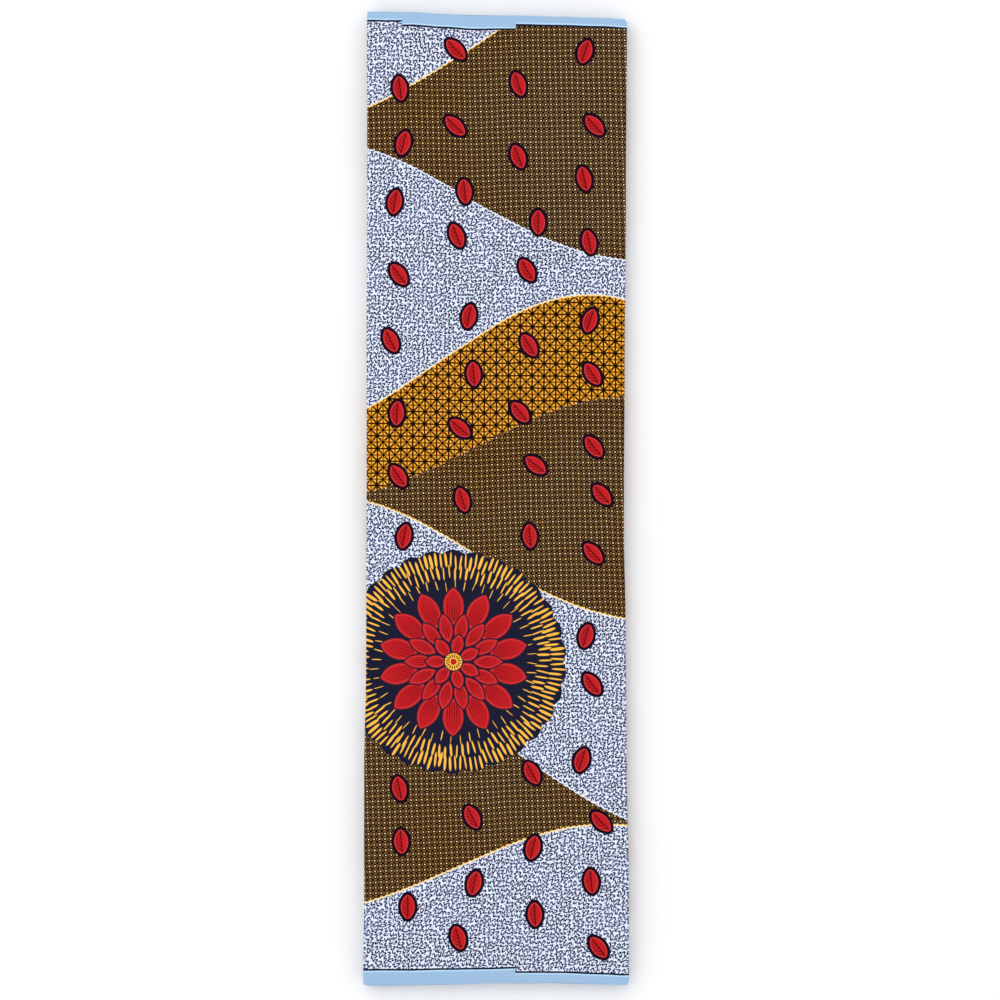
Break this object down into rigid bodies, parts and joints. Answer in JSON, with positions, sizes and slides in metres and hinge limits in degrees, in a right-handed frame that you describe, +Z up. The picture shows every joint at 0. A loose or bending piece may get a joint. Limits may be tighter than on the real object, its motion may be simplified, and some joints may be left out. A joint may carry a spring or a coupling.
{
  "type": "folded length of wax print cotton",
  "caption": "Full-width length of printed wax cotton, folded back and forth into a long flat stack, with its selvedges at the ends and its folds along the sides.",
  "frame": {"origin": "middle of the underside, where the bottom panel rests", "axes": "+Z up; +Y from the lower selvedge to the upper one; +X across the folded width, towards the side with the uppermost fold"},
  "size_m": [0.3112, 1.1401, 0.0251],
  "materials": {
    "printed_cotton": "crisp plain-woven cotton with a faint wax sheen, printed through on both faces in navy, brown, orange and red on white, with light blue selvedges"
  },
  "bodies": {
    "root": {"folded_cloth": "printed_cotton"}
  },
  "joints": []
}
